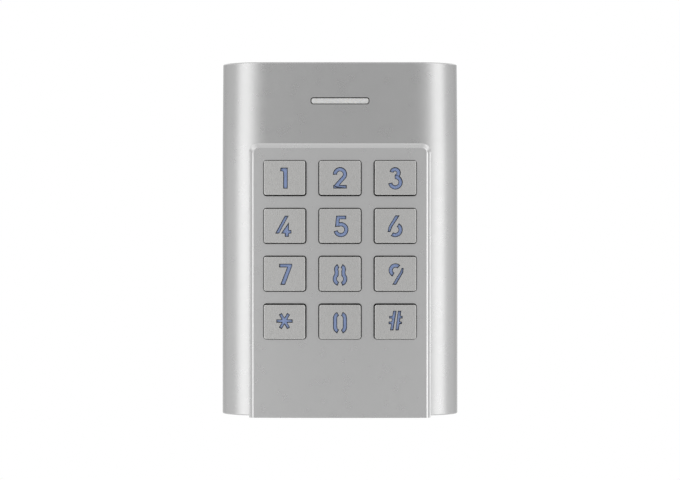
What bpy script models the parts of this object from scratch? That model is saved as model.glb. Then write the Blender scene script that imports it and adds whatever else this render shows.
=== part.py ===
"""Keypad access reader for a wall, built as the separate pieces of the real unit.

The frame has +X to the right, +Z up and the wall at y = 0, with the unit in front of it at negative y.
"Out" is the distance from the wall, so a plane that is 25 mm out lies at y = -25 mm.
"""

import math

import bmesh
import bpy
from mathutils import Matrix, Vector

MM = 0.001

# ---------------------------------------------------------------- driving dimensions, in millimetres
HALF_WIDTH = 40.4
TOP, BOTTOM = 60.7, -59.6
END_FILLET = 0.5
RIM_OUT = 0.5
BODY_OUT = 23.5
SHOULDER_WIDTH, SHOULDER_DEPTH = 15.9, 5.0
LEAN_DEGREES, LEAN_START, LEAN_END = 3.5, 24.0, 41.0
WALL = 2.6
GAP = 0.3

PANEL_HALF_WIDTH, PANEL_TOP, PANEL_BOTTOM = 30.5, 32.8, -60.0
PANEL_CORNER, PANEL_CHAMFER = 2.9, 1.5
PANEL_FOOT_ROUNDING = 0.25
PANEL_OUT = BODY_OUT + PANEL_CHAMFER
PANEL_THICKNESS = 3.3
PANEL_BACK = PANEL_OUT - PANEL_THICKNESS
FLOOR_FRONT = PANEL_BACK - GAP
FLOOR_BACK = FLOOR_FRONT - 2.2

KEY_WIDTH, KEY_HEIGHT, KEY_CORNER = 13.9, 11.45, 0.95
KEY_PITCH_X, KEY_PITCH_Z, TOP_ROW_Z = 18.6, 16.1, 20.85
KEY_RISE, KEY_WALL, KEY_FACE = 1.9, 1.4, 1.2
KEY_FLANGE, KEY_FLANGE_THICKNESS = 1.15, 1.0
WINDOW_GAP = 0.35
KEY_OUT = PANEL_OUT + KEY_RISE
KEY_BACK = PANEL_BACK - GAP - KEY_FLANGE_THICKNESS

BOARD_BACK, BOARD_THICKNESS = 12.4, 1.6
BOARD_FRONT = BOARD_BACK + BOARD_THICKNESS
STEM_END = 19.0
MAT_BACK = BOARD_FRONT + GAP
MAT_THICKNESS = 1.0
DOME_TOP = STEM_END - GAP

COVER_BACK, COVER_THICKNESS = 4.0, 1.8
COVER_FRONT = COVER_BACK + COVER_THICKNESS
LEDGE_OUT = 7.4
RECESS_HALF_WIDTH, RECESS_BOTTOM, RECESS_TOP = 38.4, -52.2, 56.8
CAVITY_HALF_WIDTH, CAVITY_BOTTOM, CAVITY_TOP = 36.2, -50.0, 54.6
COVER_GAP = 0.4

LAMP_Z, LAMP_WIDTH, LAMP_HEIGHT, LAMP_CORNER = 47.3, 20.0, 2.4, 0.9

BRACKET_THICKNESS = 1.5
BRACKET_HALF_WIDTH, BRACKET_BOTTOM, BRACKET_TOP = 35.0, -51.0, 53.0
TAB_X, TAB_WIDTH, TAB_TOP = 15.0, 10.0, 58.2
FOOT_WIDTH, FOOT_Z, FOOT_REACH = 14.0, -55.5, 10.0
SLOT_WIDTH, SLOT_LENGTH = 3.9, 9.0
SLOT_SPACING_Z, SLOT_SPACING_X = 83.3, 60.3
GROMMET_Z = -24.0
TAMPER_X, TAMPER_Z = 11.5, -30.0
SECURITY_OUT = 6.0

PANEL_SCREWS = [(-22.0, 31.0), (22.0, 31.0), (-22.0, -46.0), (22.0, -46.0)]
BOARD_SCREWS = [(-32.5, 42.0), (32.5, 42.0), (-32.5, -36.0), (32.5, -36.0)]
COVER_SCREWS = [(-33.4, 52.0), (33.4, 52.0), (-33.4, -47.4), (33.4, -47.4)]

KEY_ROWS = [["1", "2", "3"], ["4", "5", "6"], ["7", "8", "9"], ["star", "0", "hash"]]

# name: (colour, roughness, metallic)
FINISHES = {
    "silver_paint": ((0.47, 0.47, 0.47), 0.38, 0.85),
    "panel_paint": ((0.50, 0.50, 0.50), 0.42, 0.8),
    "key_metal": ((0.52, 0.52, 0.51), 0.40, 0.85),
    "blue_guide": ((0.16, 0.27, 0.55), 0.35, 0.0),
    "lamp_lens": ((0.80, 0.80, 0.79), 0.30, 0.0),
    "silicone": ((0.62, 0.66, 0.70), 0.60, 0.0),
    "circuit_board": ((0.03, 0.16, 0.08), 0.45, 0.0),
    "component": ((0.03, 0.03, 0.035), 0.45, 0.0),
    "header_plastic": ((0.82, 0.80, 0.72), 0.45, 0.0),
    "led_white": ((0.88, 0.86, 0.70), 0.30, 0.0),
    "copper_wire": ((0.60, 0.27, 0.12), 0.35, 0.9),
    "black_plastic": ((0.045, 0.045, 0.05), 0.55, 0.0),
    "black_rubber": ((0.02, 0.02, 0.02), 0.75, 0.0),
    "clear_window": ((0.75, 0.80, 0.82), 0.10, 0.0),
    "zinc_steel": ((0.55, 0.56, 0.58), 0.35, 0.95),
    "screw_steel": ((0.42, 0.42, 0.44), 0.30, 0.95),
}


# ---------------------------------------------------------------- scene helpers
def clear_scene():
    for obj in list(bpy.data.objects):
        bpy.data.objects.remove(obj)


def make_collection(name):
    collection = bpy.data.collections.new(name)
    bpy.context.scene.collection.children.link(collection)
    return collection


def make_material(name):
    colour, roughness, metallic = FINISHES[name]
    material = bpy.data.materials.new(name)
    material.use_nodes = True
    shader = material.node_tree.nodes["Principled BSDF"]
    shader.inputs["Base Color"].default_value = (*colour, 1.0)
    shader.inputs["Roughness"].default_value = roughness
    shader.inputs["Metallic"].default_value = metallic
    return material


def evaluated_mesh(obj):
    """The object's mesh with its modifiers applied, still in the object's own axes."""
    graph = bpy.context.evaluated_depsgraph_get()
    return bpy.data.meshes.new_from_object(obj.evaluated_get(graph))


def place(mesh, name, finish=None):
    """A new object for this mesh: a piece of the reader, or a cutter where it has no finish."""
    obj = bpy.data.objects.new(name, mesh)
    if finish is None:
        CUTTERS.objects.link(obj)
        obj.hide_render = True
        obj.display_type = "WIRE"
        return obj
    PARTS.objects.link(obj)
    obj.data.materials.clear()
    obj.data.materials.append(MATERIALS[finish])
    obj.data.shade_smooth()
    obj.data.set_sharp_from_angle(angle=math.radians(30))
    return obj


def boolean(obj, other, operation):
    modifier = obj.modifiers.new(f"{operation.lower()}_{other.name}", "BOOLEAN")
    modifier.operation = operation
    modifier.object = other
    modifier.solver = "EXACT"
    return obj


def cut(obj, *cutters):
    for cutter in cutters:
        boolean(obj, cutter, "DIFFERENCE")
    return obj


def join(obj, *others):
    for other in others:
        boolean(obj, other, "UNION")
    return obj


def clean(bm):
    """Welds a curve's caps to its sides, and turns each flat run of triangles into one face."""
    bmesh.ops.remove_doubles(bm, verts=bm.verts, dist=0.002 * MM)
    bmesh.ops.dissolve_limit(bm, angle_limit=math.radians(0.5), verts=bm.verts, edges=bm.edges)
    bmesh.ops.recalc_face_normals(bm, faces=bm.faces)


# ---------------------------------------------------------------- outlines, as lists of (x, z) in mm
def arc(centre_x, centre_z, radius, start, end, steps):
    """Points on an arc from one angle to another, in degrees anticlockwise from +X."""
    angles = [math.radians(start + (end - start) * i / steps) for i in range(steps + 1)]
    return [(centre_x + radius * math.cos(a), centre_z + radius * math.sin(a)) for a in angles]


def circle(x, z, radius, sides):
    return arc(x, z, radius, 0, 360 - 360 / sides, sides - 1)


def rounded(left, right, bottom, top, radius, steps=3):
    """A rectangle with round corners."""
    corners = [(right, top, 0), (left, top, 90), (left, bottom, 180), (right, bottom, 270)]
    points = []
    for x, z, angle in corners:
        inner_x = x - math.copysign(radius, x - (left + right) / 2)
        inner_z = z - math.copysign(radius, z - (bottom + top) / 2)
        points += arc(inner_x, inner_z, radius, angle, angle + 90, steps)
    return points


def around(x, z, width, height, radius, steps=3):
    """A rounded rectangle given by its centre and size."""
    return rounded(x - width / 2, x + width / 2, z - height / 2, z + height / 2, radius, steps)


def stroke(path, width):
    """The outline of a pen line of this width along the path, with square ends."""
    left, right = [], []
    for i, point in enumerate(path):
        here = Vector(point)
        before, after = Vector(path[max(i - 1, 0)]), Vector(path[min(i + 1, len(path) - 1)])
        into = (here - before) if i else (after - here)
        out = (after - here) if i < len(path) - 1 else into
        tangent = (into.normalized() + out.normalized()).normalized()
        reach = width / 2 / max(tangent.dot(into.normalized()), 0.4)
        side = Vector((-tangent.y, tangent.x)) * reach
        left.append(tuple(here + side))
        right.append(tuple(here - side))
    return left + right[::-1]


# ---------------------------------------------------------------- solids
def plate_mesh(name, loops, start, end):
    """A flat plate: its outer outline and then its holes, between two distances along the local Z axis."""
    curve = bpy.data.curves.new(name, "CURVE")
    curve.dimensions = "2D"
    curve.fill_mode = "BOTH"
    curve.extrude = abs(end - start) / 2 * MM
    for loop in loops:
        spline = curve.splines.new("POLY")
        spline.points.add(len(loop) - 1)
        spline.use_cyclic_u = True
        for point, (x, z) in zip(spline.points, loop):
            point.co = (x * MM, z * MM, 0.0, 1.0)
    obj = bpy.data.objects.new(name, curve)
    CUTTERS.objects.link(obj)
    bpy.context.view_layer.update()
    mesh = evaluated_mesh(obj)
    bpy.data.objects.remove(obj)
    bm = bmesh.new()
    bm.from_mesh(mesh)
    bmesh.ops.translate(bm, verts=bm.verts, vec=(0, 0, (start + end) / 2 * MM))
    clean(bm)
    bm.to_mesh(mesh)
    bm.free()
    return mesh


FACING_OUT = Matrix.Rotation(math.radians(90), 4, "X")


def face_plate(name, loops, back, front, finish=None, at=(0.0, 0.0)):
    """A plate that lies flat against the wall, from back to front in mm out."""
    mesh = plate_mesh(name, loops, back, front)
    mesh.transform(FACING_OUT)
    obj = place(mesh, name, finish)
    obj.location = (at[0] * MM, 0, at[1] * MM)
    return obj


def side_plate(name, outline, left, right):
    """A solid to join or cut with, its outline in (out, z), running from left to right."""
    mesh = plate_mesh(name, [outline], left, right)
    mesh.transform(Matrix(((0, 0, 1, 0), (-1, 0, 0, 0), (0, 1, 0, 0), (0, 0, 0, 1))))
    mesh.flip_normals()
    return place(mesh, name)


def turned_mesh(name, profile, sides, closed=False):
    """A turned shape about the local Z axis. The profile is (radius, height) from the top down its outer side."""
    bm = bmesh.new()
    vertices = [bm.verts.new((radius * MM, 0, height * MM)) for radius, height in profile]
    pairs = list(zip(vertices, vertices[1:])) + ([(vertices[-1], vertices[0])] if closed else [])
    for pair in pairs:
        bm.edges.new(pair)
    mesh = bpy.data.meshes.new(name)
    bm.to_mesh(mesh)
    bm.free()
    obj = bpy.data.objects.new(name, mesh)
    CUTTERS.objects.link(obj)
    screw = obj.modifiers.new("turn", "SCREW")
    screw.steps = screw.render_steps = sides
    screw.use_merge_vertices = True
    screw.merge_threshold = 0.00001
    bpy.context.view_layer.update()
    turned = evaluated_mesh(obj)
    bpy.data.objects.remove(obj)
    bm = bmesh.new()
    bm.from_mesh(turned)
    clean(bm)
    bm.to_mesh(turned)
    bm.free()
    return turned


def facing_turned(name, profile, sides, x, z, finish=None, closed=False):
    """A turned piece whose axis runs straight out from the wall at (x, z)."""
    mesh = turned_mesh(name, profile, sides, closed)
    mesh.transform(FACING_OUT)
    obj = place(mesh, name, finish)
    obj.location = (x * MM, 0, z * MM)
    return obj


def rod(name, x, z, radius, back, front, sides=12, finish=None):
    return face_plate(name, [circle(0, 0, radius, sides)], back, front, finish, at=(x, z))


def several(name, meshes_at):
    """One cutter made of several separate solids, given as (mesh, x, z)."""
    bm = bmesh.new()
    for mesh, x, z in meshes_at:
        copy = mesh.copy()
        copy.transform(Matrix.Translation((x * MM, 0, z * MM)))
        bm.from_mesh(copy)
    mesh = bpy.data.meshes.new(name)
    bm.to_mesh(mesh)
    bm.free()
    return place(mesh, name)


# ---------------------------------------------------------------- the housing
def lean(z):
    """How far back the front surface lies at this height, in mm: the upper third leans back."""
    slope = math.tan(math.radians(LEAN_DEGREES))
    if z <= LEAN_START:
        return 0.0
    if z >= LEAN_END:
        return slope * (z - (LEAN_START + LEAN_END) / 2)
    return slope * (z - LEAN_START) ** 2 / (2 * (LEAN_END - LEAN_START))


def shouldered_outline(half_width, front, shoulder_width, shoulder_depth, rear, steps=8):
    """The section at one height, as (x, out): flat back and front, straight sides, elliptical shoulders."""
    flat = half_width - shoulder_width
    side = front - shoulder_depth
    quarter = [math.radians(90 * i / steps) for i in range(steps + 1)]
    right = [
        (flat + shoulder_width * math.cos(a), side + shoulder_depth * math.sin(a)) for a in quarter
    ]
    return [(half_width, rear), *right, *[(-x, out) for x, out in reversed(right)], (-half_width, rear)]


def shouldered_block(name, half_width, front, shoulder, rear, bottom, top, fillet=0.0):
    """A block with that section whose front surface leans back above the keypad."""
    outline = shouldered_outline(half_width, front, *shoulder, rear)
    mesh = plate_mesh(name, [outline], -top, -bottom)
    mesh.transform(Matrix.Rotation(math.pi, 4, "X"))
    bm = bmesh.new()
    bm.from_mesh(mesh)
    if fillet:
        ends = [
            edge
            for edge in bm.edges
            if abs(edge.verts[0].co.z - edge.verts[1].co.z) < 1e-6
            and max(-vertex.co.y for vertex in edge.verts) > (rear + 1) * MM
        ]
        bmesh.ops.bevel(
            bm, geom=ends, offset=fillet * MM, segments=2, profile=0.5, affect="EDGES"
        )
    for i in range(5):
        height = (LEAN_START + (LEAN_END - LEAN_START) * i / 4) * MM
        bmesh.ops.bisect_plane(
            bm,
            geom=[*bm.verts, *bm.edges, *bm.faces],
            plane_co=(0, 0, height),
            plane_no=(0, 0, 1),
            dist=1e-7,
        )
    shoulder_start = (front - shoulder[1] - 2.0) * MM
    for vertex in bm.verts:
        if -vertex.co.y > shoulder_start:
            vertex.co.y += lean(vertex.co.z / MM) * MM
    bmesh.ops.recalc_face_normals(bm, faces=bm.faces)
    bm.to_mesh(mesh)
    bm.free()
    return mesh


def boss_row(name, places, radius, back, front, sides=12):
    """Round bosses or holes at each of the places, as one cutter."""
    mesh = plate_mesh(name, [circle(0, 0, radius, sides)], back, front)
    mesh.transform(FACING_OUT)
    return several(name, [(mesh, x, z) for x, z in places])


def make_front_housing():
    """Die-cast front shell: rounded shoulders, a pocket for the keypad panel, bosses inside."""
    housing = place(
        shouldered_block(
            "front_housing",
            HALF_WIDTH,
            BODY_OUT,
            (SHOULDER_WIDTH, SHOULDER_DEPTH),
            RIM_OUT,
            BOTTOM,
            TOP,
            fillet=END_FILLET,
        ),
        "front_housing",
        "silver_paint",
    )
    inner_front, inner_shoulder = BODY_OUT - WALL, (SHOULDER_WIDTH - 1.5, SHOULDER_DEPTH - 0.8)
    main_cavity = place(
        shouldered_block(
            "cavity", CAVITY_HALF_WIDTH, inner_front, inner_shoulder, 6.5, CAVITY_BOTTOM, CAVITY_TOP
        ),
        "cutter_cavity",
    )
    low_cavity = place(
        shouldered_block(
            "low_cavity", CAVITY_HALF_WIDTH, inner_front, inner_shoulder, 12.0, -56.0, CAVITY_BOTTOM + 2
        ),
        "cutter_low_cavity",
    )
    cut(housing, main_cavity, low_cavity)
    floor = face_plate("joiner_floor", [rounded(-32.5, 32.5, -57.5, 34.5, 1.0, 1)], FLOOR_BACK, 21.6)
    board_bosses = boss_row("joiner_board_bosses", BOARD_SCREWS, 3.2, BOARD_FRONT + GAP, 20.0)
    cover_bosses = boss_row("joiner_cover_bosses", COVER_SCREWS, 3.3, 6.9, 19.5)
    join(housing, floor, board_bosses, cover_bosses)
    recess = face_plate(
        "cutter_recess",
        [rounded(-RECESS_HALF_WIDTH, RECESS_HALF_WIDTH, RECESS_BOTTOM, RECESS_TOP, 2.0, 2)],
        -1.0,
        LEDGE_OUT,
    )
    notch = plate_mesh("notch", [around(0, 57.0, TAB_WIDTH + 2, 3.6, 0.3, 1)], 1.6, 3.9)
    notch.transform(FACING_OUT)
    notches = several("cutter_tab_notches", [(notch, -TAB_X, 0), (notch, TAB_X, 0)])
    foot_pocket = face_plate("cutter_foot_pocket", [rounded(-8.5, 8.5, -56.6, -51.5, 0.3, 1)], -1.0, 11.0)
    panel_pocket = face_plate(
        "cutter_panel_pocket",
        [rounded(-PANEL_HALF_WIDTH - GAP, PANEL_HALF_WIDTH + GAP, -70, PANEL_TOP + GAP, 3.2, 4)],
        FLOOR_FRONT,
        BODY_OUT + 4,
    )
    key_opening = face_plate("cutter_key_opening", [rounded(-27.2, 27.2, -35.4, 28.8, 1.5, 2)], 15.0, 23.0)
    lamp_slot = face_plate(
        "cutter_lamp_slot", [around(0, LAMP_Z, LAMP_WIDTH, LAMP_HEIGHT, LAMP_CORNER)], 15.0, 26.0
    )
    panel_holes = boss_row("cutter_panel_holes", PANEL_SCREWS, 1.4, 15.0, 22.5, 10)
    board_pilots = boss_row("cutter_board_pilots", BOARD_SCREWS, 1.35, 10.0, 18.4, 10)
    cover_pilots = boss_row("cutter_cover_pilots", COVER_SCREWS, 1.35, 5.0, 15.0, 10)
    screw_hole = place(plate_mesh("screw_hole", [circle(0, -SECURITY_OUT, 1.7, 12)], -62, -55), "cutter_screw_hole")
    counterbore = place(
        plate_mesh("counterbore", [circle(0, -SECURITY_OUT, 3.1, 16)], -62, -57.8), "cutter_counterbore"
    )
    cut(housing, recess, notches, foot_pocket, panel_pocket, key_opening, lamp_slot)
    cut(housing, panel_holes, board_pilots, cover_pilots, screw_hole, counterbore)


# ---------------------------------------------------------------- the keypad panel
def make_keypad_panel():
    """Raised keypad panel: chamfered along its top and sides, square below, with a window for each key."""
    step = PANEL_OUT - PANEL_CHAMFER
    below = PANEL_BOTTOM - 4
    outline = [
        (-PANEL_HALF_WIDTH, below),
        (PANEL_HALF_WIDTH, below),
        *arc(PANEL_HALF_WIDTH - PANEL_CORNER, PANEL_TOP - PANEL_CORNER, PANEL_CORNER, 0, 90, 5),
        *arc(-PANEL_HALF_WIDTH + PANEL_CORNER, PANEL_TOP - PANEL_CORNER, PANEL_CORNER, 90, 180, 5),
    ]
    mesh = plate_mesh("keypad_panel", [outline], PANEL_BACK, step)
    bm = bmesh.new()
    bm.from_mesh(mesh)
    front = [face for face in bm.faces if face.normal.z > 0.9]
    bmesh.ops.inset_region(
        bm, faces=front, thickness=PANEL_CHAMFER * MM, depth=PANEL_CHAMFER * MM, use_even_offset=True
    )
    trimmed = bmesh.ops.bisect_plane(
        bm,
        geom=[*bm.verts, *bm.edges, *bm.faces],
        plane_co=(0, PANEL_BOTTOM * MM, 0),
        plane_no=(0, -1, 0),
        clear_outer=True,
    )
    rim = [item for item in trimmed["geom_cut"] if isinstance(item, bmesh.types.BMEdge)]
    bmesh.ops.contextual_create(bm, geom=rim)
    low_front = [
        edge
        for edge in bm.edges
        if all(v.co.y < (PANEL_BOTTOM + 0.01) * MM and v.co.z > (PANEL_OUT - 0.01) * MM for v in edge.verts)
    ]
    bmesh.ops.bevel(
        bm, geom=low_front, offset=PANEL_FOOT_ROUNDING * MM, segments=2, profile=0.5, affect="EDGES"
    )
    bmesh.ops.recalc_face_normals(bm, faces=bm.faces)
    bm.to_mesh(mesh)
    bm.free()
    mesh.transform(FACING_OUT)
    panel = place(mesh, "keypad_panel", "panel_paint")
    window = plate_mesh(
        "window",
        [around(0, 0, KEY_WIDTH + 2 * WINDOW_GAP, KEY_HEIGHT + 2 * WINDOW_GAP, KEY_CORNER + WINDOW_GAP, 3)],
        PANEL_BACK - 2,
        PANEL_OUT + 2,
    )
    window.transform(FACING_OUT)
    windows = several("cutter_windows", [(window, x, z) for _, x, z in key_places()])
    pilots = boss_row("cutter_panel_pilots", PANEL_SCREWS, 1.3, PANEL_BACK - 1, PANEL_BACK + 2.1, 10)
    cut(panel, windows, pilots)


# ---------------------------------------------------------------- keys
def key_places():
    """(name, x, z) of each key, row by row from the top left."""
    return [
        (name, (column - 1) * KEY_PITCH_X, TOP_ROW_Z - row * KEY_PITCH_Z)
        for row, names in enumerate(KEY_ROWS)
        for column, name in enumerate(names)
    ]


def mirrored(path):
    return [(-x, z) for x, z in path]


def glyphs():
    """The cut-through sign of each key, as outlines in mm about the key's centre. Closed loops have bridges."""
    bold, thin = 1.22, 1.05
    zero_half = [*arc(0, 1.2, 1.65, 112, 180, 3), *arc(0, -1.7, 1.65, 180, 248, 3)]
    eight_half = [*arc(-0.05, 1.3, 1.25, 112, 210, 4), *arc(0, -1.85, 1.75, 132, 252, 5)]
    return {
        "1": [[(-1.25, 3.35), (1.1, 3.35), (1.1, -3.6), (-0.27, -3.6), (-0.27, 1.9), (-0.7, 2.15), (-1.4, 2.15)]],
        "2": [
            stroke([*arc(0, 1.2, 1.67, 187, -32, 9), (-1.6, -3.05)], bold),
            [(-2.28, -3.62), (2.28, -3.62), (2.28, -2.42), (-2.28, -2.42)],
        ],
        "3": [
            stroke(arc(-0.15, 1.65, 1.2, 172, -80, 8), bold),
            stroke(arc(-0.05, -1.48, 1.75, 98, -172, 9), bold),
        ],
        "4": [
            [(0.3, 3.35), (1.35, 3.35), (-1.85, -2.5), (-2.85, -2.5)],
            [
                (1.5, 0.9), (1.5, -1.5), (2.3, -1.5), (2.3, -2.5), (1.5, -2.5),
                (1.5, -3.6), (0.2, -3.6), (0.2, -2.5), (-1.0, -2.5),
            ],
        ],
        "5": [
            [(-1.12, 3.33), (2.05, 3.33), (2.05, 2.3), (-0.1, 2.3), (-0.2, 1.0), (-0.6, -0.3), (-1.55, -0.5)],
            stroke(arc(0.3, -1.28, 1.82, 128, -168, 9), bold),
        ],
        "6": [
            stroke([(0.85, 3.5), (-1.7, -0.7), (-2.1, -2.0)], thin),
            stroke(arc(-0.1, -1.3, 1.8, 62, -128, 7), bold),
        ],
        "7": [[(-1.75, 3.1), (2.55, 3.1), (2.55, 2.4), (0.15, -3.75), (-1.3, -3.75), (0.95, 2.0), (-1.75, 2.0)]],
        "8": [stroke(eight_half, bold), stroke(mirrored(eight_half), bold)],
        "9": [
            stroke(arc(0.0, 1.15, 1.68, 55, 250, 7), bold),
            stroke([(2.1, 1.85), (1.7, 0.55), (-0.7, -3.8)], thin),
        ],
        "star": [
            stroke([(-2.75, 0.3), (2.75, 0.3)], 1.0),
            stroke([(-1.4, -2.15), (1.4, 2.75)], 1.0),
            stroke([(-1.4, 2.75), (1.4, -2.15)], 1.0),
        ],
        "0": [stroke(zero_half, bold), stroke(mirrored(zero_half), bold)],
        "hash": [
            [(-0.7, 3.7), (0.3, 3.7), (-0.75, -2.8), (-1.75, -2.8)],
            [(0.85, 3.7), (1.85, 3.7), (1.0, -2.8), (0.0, -2.8)],
            [(-2.1, 1.1), (-0.7, 1.1), (-0.7, 2.0), (-2.1, 2.0)],
            [(1.1, 1.1), (2.35, 1.1), (2.35, 2.0), (1.1, 2.0)],
            [(-2.35, -0.75), (-1.0, -0.75), (-1.0, 0.15), (-2.35, 0.15)],
            [(0.9, -0.75), (2.1, -0.75), (2.1, 0.15), (0.9, 0.15)],
        ],
    }


def key_cap_mesh():
    """A hollow metal cap with a flange at its back that keeps it in the panel."""
    body_outline = [around(0, 0, KEY_WIDTH, KEY_HEIGHT, KEY_CORNER, 2)]
    mesh = plate_mesh("key_cap", body_outline, KEY_BACK + 0.4, KEY_OUT)
    bm = bmesh.new()
    bm.from_mesh(mesh)
    rim = [edge for edge in bm.edges if all(v.co.z > (KEY_OUT - 0.01) * MM for v in edge.verts)]
    bmesh.ops.bevel(bm, geom=rim, offset=0.3 * MM, segments=1, affect="EDGES")
    bm.to_mesh(mesh)
    bm.free()
    mesh.transform(FACING_OUT)
    body = place(mesh, "joiner_key_body")
    flange_outline = [
        around(0, 0, KEY_WIDTH + 2 * KEY_FLANGE, KEY_HEIGHT + 2 * KEY_FLANGE, KEY_CORNER, 1)
    ]
    flange = face_plate("joiner_key_flange", flange_outline, KEY_BACK, KEY_BACK + KEY_FLANGE_THICKNESS)
    hollow_outline = [around(0, 0, KEY_WIDTH - 2 * KEY_WALL, KEY_HEIGHT - 2 * KEY_WALL, 0.5, 1)]
    hollow = face_plate("cutter_key_hollow", hollow_outline, KEY_BACK - 2, KEY_OUT - KEY_FACE)
    join(body, flange)
    cut(body, hollow)
    bpy.context.view_layer.update()
    baked = evaluated_mesh(body)
    body.modifiers.clear()
    return baked


def light_guide_mesh():
    """The clear insert behind a key's face, with the stem that presses the rubber dome."""
    width, height = KEY_WIDTH - 2 * KEY_WALL - 2 * GAP, KEY_HEIGHT - 2 * KEY_WALL - 2 * GAP
    block = face_plate(
        "joiner_guide_block", [around(0, 0, width, height, 0.4, 1)], KEY_BACK - GAP, KEY_OUT - KEY_FACE - GAP
    )
    stem = face_plate("joiner_guide_stem", [circle(0, 0, 2.5, 10)], STEM_END, KEY_BACK + 1)
    join(block, stem)
    bpy.context.view_layer.update()
    baked = evaluated_mesh(block)
    block.modifiers.clear()
    return baked


def make_keys():
    cap_mesh, guide_mesh, signs = key_cap_mesh(), light_guide_mesh(), glyphs()
    for name, x, z in key_places():
        pivot = bpy.data.objects.new(f"key_{name}_slide", None)
        pivot.location = (x * MM, 0, z * MM)
        PARTS.objects.link(pivot)
        cap = place(cap_mesh.copy(), f"key_cap_{name}", "key_metal")
        guide = place(guide_mesh, f"key_light_guide_{name}", "blue_guide")
        cap.parent = guide.parent = pivot
        for i, outline in enumerate(signs[name]):
            cutter = face_plate(f"cutter_sign_{name}_{i}", [outline], KEY_OUT - 3, KEY_OUT + 1, at=(x, z))
            cut(cap, cutter)


def make_key_mat():
    """One silicone sheet with a hollow dome under each key."""
    edge = MAT_BACK + MAT_THICKNESS
    holes = [circle(x, z, 5.0, 8) for _, x, z in key_places()]
    mat = face_plate("key_mat", [rounded(-29, 29, -37, 30, 1.5, 2), *holes], MAT_BACK, edge, "silicone")
    profile = [
        (0, DOME_TOP), (2.8, DOME_TOP), (3.2, DOME_TOP - 1.2), (4.6, edge - 0.2), (5.5, edge - 0.2),
        (5.5, MAT_BACK + 0.2), (3.8, MAT_BACK + 0.2), (2.4, DOME_TOP - 2.1), (0, DOME_TOP - 2.1),
    ]
    dome = turned_mesh("dome", profile, 8)
    dome.transform(FACING_OUT)
    join(mat, several("joiner_domes", [(dome, x, z) for _, x, z in key_places()]))


# ---------------------------------------------------------------- screws
def pan_head_profile(head_radius, head_height, shank_radius, shank_length):
    """A pan-head screw that points up local Z, its head below. (radius, height) from the tip down."""
    return [
        (0, shank_length),
        (shank_radius * 0.6, shank_length),
        (shank_radius, shank_length - 0.5),
        (shank_radius, 0),
        (head_radius, 0),
        (head_radius, -head_height * 0.55),
        (head_radius * 0.7, -head_height),
        (0, -head_height),
    ]


def make_screws(name, places, seat, head_radius, head_height, shank_radius, shank_length):
    """Pan-head screws driven from behind, with their heads' undersides at seat, in mm out."""
    mesh = turned_mesh(name, pan_head_profile(head_radius, head_height, shank_radius, shank_length), 10)
    mesh.transform(FACING_OUT)
    arm, half, inner = head_radius * 0.6, 0.26, 0.36
    cross = [
        (inner, inner), (half, arm), (-half, arm), (-inner, inner), (-arm, half), (-arm, -half),
        (-inner, -inner), (-half, -arm), (half, -arm), (inner, -inner), (arm, -half), (arm, half),
    ]
    for i, (x, z) in enumerate(places, 1):
        screw = place(mesh, f"{name}_{i}", "screw_steel")
        screw.location = (x * MM, -seat * MM, z * MM)
        recess = face_plate(
            f"cutter_{name}_{i}", [cross], seat - head_height - 1, seat - head_height * 0.4, at=(x, z)
        )
        cut(screw, recess)


def make_security_screw():
    """The screw in the underside that locks the unit to its wall bracket, with a hexagonal socket."""
    head_top, head_bottom, tip = -58.0, -59.15, -53.2
    profile = [
        (0, tip), (1.0, tip), (1.4, tip - 0.5), (1.4, head_top), (2.8, head_top),
        (2.8, head_bottom + 0.4), (2.4, head_bottom), (0, head_bottom),
    ]
    screw = place(turned_mesh("security_screw", profile, 16), "security_screw", "screw_steel")
    screw.location = (0, -SECURITY_OUT * MM, 0)
    socket = place(
        plate_mesh("socket", [circle(0, -SECURITY_OUT, 1.15, 6)], -61, head_bottom + 0.8), "cutter_socket"
    )
    cut(screw, socket)


# ---------------------------------------------------------------- lamp, board and what is on it
def make_lamp():
    """The lamp bar in the top of the housing and the three light sources behind it."""
    bar_outline = [around(0, LAMP_Z, LAMP_WIDTH - 0.5, LAMP_HEIGHT - 0.5, LAMP_CORNER - 0.25)]
    front = BODY_OUT - lean(LAMP_Z) - 0.25
    bar = face_plate("status_lamp_lens", bar_outline, 16.6, front, "lamp_lens")
    flange = face_plate("joiner_lamp_flange", [around(0, LAMP_Z, 24.0, 5.4, 1.0, 1)], 18.2, 19.4)
    join(bar, flange)
    for side, x in (("left", -6.0), ("centre", 0.0), ("right", 6.0)):
        face_plate(
            f"status_led_{side}", [around(x, LAMP_Z, 3.2, 2.8, 0.4, 1)], BOARD_FRONT + 0.2, 16.1, "led_white"
        )


def make_board():
    """The circuit board: wide behind the keys, narrower between the upper bosses."""
    outline = [
        (-35, -41), (35, -41), (35, 46), (27, 46), (27, 53.8), (-27, 53.8), (-27, 46), (-35, 46),
    ]
    holes = [circle(x, z, 1.4, 10) for x, z in BOARD_SCREWS]
    face_plate("circuit_board", [outline, *holes], BOARD_BACK, BOARD_FRONT, "circuit_board")


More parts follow.
